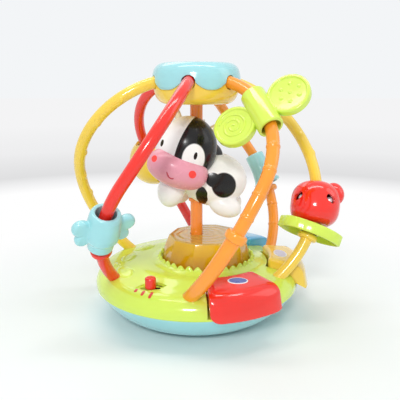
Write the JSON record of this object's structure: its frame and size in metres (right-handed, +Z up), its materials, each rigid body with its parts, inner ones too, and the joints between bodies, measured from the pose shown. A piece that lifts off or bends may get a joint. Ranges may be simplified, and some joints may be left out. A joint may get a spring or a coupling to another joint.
{
  "type": "baby activity ball",
  "caption": "Baby activity ball: a round base with sound keys and a lit dome, bent rails that carry sliding and spinning beads, and a cow that turns on the centre post under a hub.",
  "frame": {"origin": "middle of the flat foot, on the centre post's axis", "axes": "+Z up along the post; -Y to the front, the way the cow looks; +X to the right seen from the front"},
  "size_m": [0.2191, 0.2107, 0.204],
  "materials": {
    "sky": "glossy moulded plastic",
    "lime": "glossy moulded plastic",
    "red": "glossy moulded plastic",
    "orange": "glossy moulded plastic",
    "yellow": "glossy moulded plastic",
    "white": "glossy moulded plastic",
    "pink": "glossy moulded plastic",
    "beige": "glossy moulded plastic",
    "blue": "glossy moulded plastic",
    "amber": "translucent moulded plastic",
    "dark": "matt",
    "led": "clear resin",
    "board": "solder mask",
    "cell": "printed sleeve",
    "steel": "plated"
  },
  "bodies": {
    "frame": {"base_bowl": "sky", "base_top": "lime", "base_screws": "steel", "battery_door": "sky", "door_screw": "steel", "batteries": "cell", "battery_contacts": "steel", "circuit_board": "board", "speaker": "dark", "dome_led": "led", "slide_switch": "dark", "key_switches": "dark", "key_springs": "steel", "key_pins": "steel", "light_dome": "amber", "centre_post": "orange", "hub_cap": "sky", "hub_dish": "yellow", "hub_screws": "steel", "rail_red_front": "red", "rail_orange_front": "orange", "rail_yellow_right": "yellow", "rail_orange_back": "orange", "rail_red_back": "red", "rail_yellow_left": "yellow"},
    "cow": {"cow_sleeve": "white", "cow_body": "white", "cow_head": "white", "cow_muzzle": "pink", "cow_horns": "beige", "cow_ears": "white"},
    "butterfly_blue": {"butterfly_blue": "sky"},
    "butterfly_lime": {"butterfly_lime": "lime"},
    "rattle": {"rattle_bead": "red", "rattle_shot": "steel"},
    "leaf": {"leaf_spinner": "lime"},
    "bell": {"bell_bead": "sky"},
    "ball": {"ball_spinner": "yellow"},
    "key_red": {"key_red": "red"},
    "key_yellow": {"key_yellow": "yellow"},
    "key_blue": {"key_blue": "blue"},
    "volume": {"volume_knob": "red"}
  },
  "joints": [
    {"name": "cow_spin", "type": "hinge", "parent": "frame", "child": "cow", "pos_m": [0, 0, 0.1], "axis": [0, 0, 1], "continuous": true},
    {"name": "blue_slide", "type": "hinge", "parent": "frame", "child": "butterfly_blue", "pos_m": [0.01336, -0.01669, 0.09299], "axis": [-0.5046, 0.7059, 0.4971], "range_deg": [0, 20]},
    {"name": "lime_slide", "type": "hinge", "parent": "frame", "child": "butterfly_lime", "pos_m": [-0.01243, -0.0445, 0.13351], "axis": [-0.4129, -0.7159, 0.563], "range_deg": [-42, 10]},
    {"name": "rattle_slide", "type": "hinge", "parent": "frame", "child": "rattle", "pos_m": [0.00619, 0.02046, 0.09299], "axis": [-0.296, -0.8157, 0.4971], "range_deg": [0, 14]},
    {"name": "bell_slide", "type": "hinge", "parent": "frame", "child": "bell", "pos_m": [-0.01247, 0.01737, 0.09299], "axis": [0.467, -0.7314, 0.4971], "range_deg": [0, 8]},
    {"name": "leaf_spin", "type": "hinge", "parent": "frame", "child": "leaf", "pos_m": [0.09002, -0.02125, 0.07446], "axis": [0.3756, 0.3791, 0.8457], "continuous": true},
    {"name": "ball_spin", "type": "hinge", "parent": "frame", "child": "ball", "pos_m": [-0.04108, 0.08622, 0.11526], "axis": [-0.4549, -0.3103, 0.8347], "continuous": true},
    {"name": "key_red_press", "type": "hinge", "parent": "frame", "child": "key_red", "pos_m": [0.02654, -0.05824, 0.0395], "axis": [0.91, 0.4147, 0], "range_deg": [0, 5], "stiffness_Nm_per_rad": 0.4, "springref_deg": -3.44},
    {"name": "key_yellow_press", "type": "hinge", "parent": "frame", "child": "key_yellow", "pos_m": [0.064, 0.00056, 0.0395], "axis": [-0.0087, 1, 0], "range_deg": [0, 5], "stiffness_Nm_per_rad": 0.4, "springref_deg": -3.44},
    {"name": "key_blue_press", "type": "hinge", "parent": "frame", "child": "key_blue", "pos_m": [0.03486, 0.05368, 0.0395], "axis": [-0.8387, 0.5446, 0], "range_deg": [0, 5], "stiffness_Nm_per_rad": 0.4, "springref_deg": -3.44},
    {"name": "volume_slide", "type": "slide", "parent": "frame", "child": "volume", "axis": [1, 0, 0], "range_m": [-0.004, 0.004]}
  ]
}
